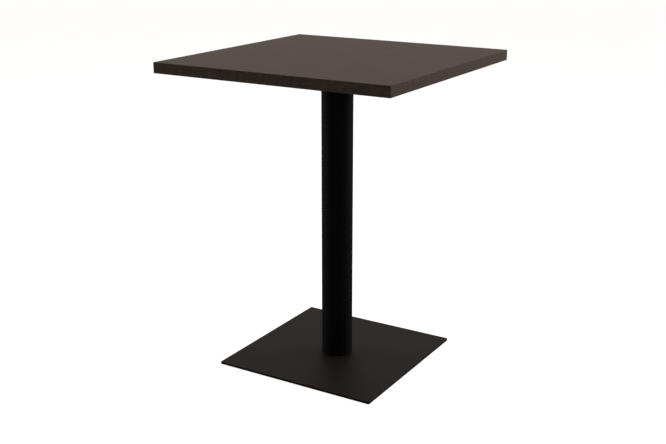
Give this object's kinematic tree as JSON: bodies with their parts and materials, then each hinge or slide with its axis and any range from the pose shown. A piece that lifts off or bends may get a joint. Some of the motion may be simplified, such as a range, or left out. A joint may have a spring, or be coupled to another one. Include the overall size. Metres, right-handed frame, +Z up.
{
  "type": "bistro table",
  "caption": "Small square cafe table: dark brown laminated top on a single round black steel column and a flat square steel floor plate with levelling glides.",
  "frame": {"origin": "on the floor, under the middle of the column", "axes": "+Z up through the column; X and Y along the sides of the square top, with the front edge at -Y"},
  "size_m": [0.6, 0.6, 0.755],
  "materials": {
    "brown_laminate": "fine matt texture, dark taupe brown",
    "brown_edging": "satin edge strip in the same dark brown, with a faint grain along it",
    "backing_laminate": "smooth matt balancing sheet",
    "chipboard": "raw wood particles",
    "black_powder_coat": "fine-textured matt black powder coat",
    "bare_steel": "turned, uncoated",
    "zinc_plated_steel": "bright zinc plating",
    "black_nylon": "moulded, lightly textured"
  },
  "bodies": {
    "frame": {"board_core": "chipboard", "top_laminate": "brown_laminate", "under_laminate": "backing_laminate", "edge_front": "brown_edging", "edge_right": "brown_edging", "edge_back": "brown_edging", "edge_left": "brown_edging", "mounting_plate": "black_powder_coat", "column_tube": "black_powder_coat", "column_head_boss": "bare_steel", "column_foot_boss": "bare_steel", "floor_plate": "black_powder_coat", "head_bolt_1": "zinc_plated_steel", "head_bolt_2": "zinc_plated_steel", "head_bolt_3": "zinc_plated_steel", "head_bolt_4": "zinc_plated_steel", "foot_bolt_1": "zinc_plated_steel", "foot_bolt_2": "zinc_plated_steel", "foot_bolt_3": "zinc_plated_steel", "foot_bolt_4": "zinc_plated_steel", "wood_screw_1": "zinc_plated_steel", "wood_screw_2": "zinc_plated_steel", "wood_screw_3": "zinc_plated_steel", "wood_screw_4": "zinc_plated_steel", "wood_screw_5": "zinc_plated_steel", "wood_screw_6": "zinc_plated_steel", "wood_screw_7": "zinc_plated_steel", "wood_screw_8": "zinc_plated_steel"},
    "glide_pad_1": {"glide_pad_1": "black_nylon"},
    "glide_stud_1": {"glide_stud_1": "zinc_plated_steel"},
    "glide_pad_2": {"glide_pad_2": "black_nylon"},
    "glide_stud_2": {"glide_stud_2": "zinc_plated_steel"},
    "glide_pad_3": {"glide_pad_3": "black_nylon"},
    "glide_stud_3": {"glide_stud_3": "zinc_plated_steel"},
    "glide_pad_4": {"glide_pad_4": "black_nylon"},
    "glide_stud_4": {"glide_stud_4": "zinc_plated_steel"}
  },
  "joints": [
    {"name": "glide_travel_1", "type": "slide", "parent": "frame", "child": "glide_pad_1", "axis": [0, 0, -1], "range_m": [0, 0.0025]},
    {"name": "glide_turn_1", "type": "hinge", "parent": "glide_pad_1", "child": "glide_stud_1", "pos_m": [-0.175, -0.175, 0.004], "axis": [0, 0, -1], "range_deg": [0, 720]},
    {"name": "glide_travel_2", "type": "slide", "parent": "frame", "child": "glide_pad_2", "axis": [0, 0, -1], "range_m": [0, 0.0025]},
    {"name": "glide_turn_2", "type": "hinge", "parent": "glide_pad_2", "child": "glide_stud_2", "pos_m": [0.175, -0.175, 0.004], "axis": [0, 0, -1], "range_deg": [0, 720]},
    {"name": "glide_travel_3", "type": "slide", "parent": "frame", "child": "glide_pad_3", "axis": [0, 0, -1], "range_m": [0, 0.0025]},
    {"name": "glide_turn_3", "type": "hinge", "parent": "glide_pad_3", "child": "glide_stud_3", "pos_m": [0.175, 0.175, 0.004], "axis": [0, 0, -1], "range_deg": [0, 720]},
    {"name": "glide_travel_4", "type": "slide", "parent": "frame", "child": "glide_pad_4", "axis": [0, 0, -1], "range_m": [0, 0.0025]},
    {"name": "glide_turn_4", "type": "hinge", "parent": "glide_pad_4", "child": "glide_stud_4", "pos_m": [-0.175, 0.175, 0.004], "axis": [0, 0, -1], "range_deg": [0, 720]}
  ],
  "couplings": [
    {"joint": "glide_turn_1", "follows": "glide_travel_1", "rad_per_m": 5026.5},
    {"joint": "glide_turn_2", "follows": "glide_travel_2", "rad_per_m": 5026.5},
    {"joint": "glide_turn_3", "follows": "glide_travel_3", "rad_per_m": 5026.5},
    {"joint": "glide_turn_4", "follows": "glide_travel_4", "rad_per_m": 5026.5}
  ]
}
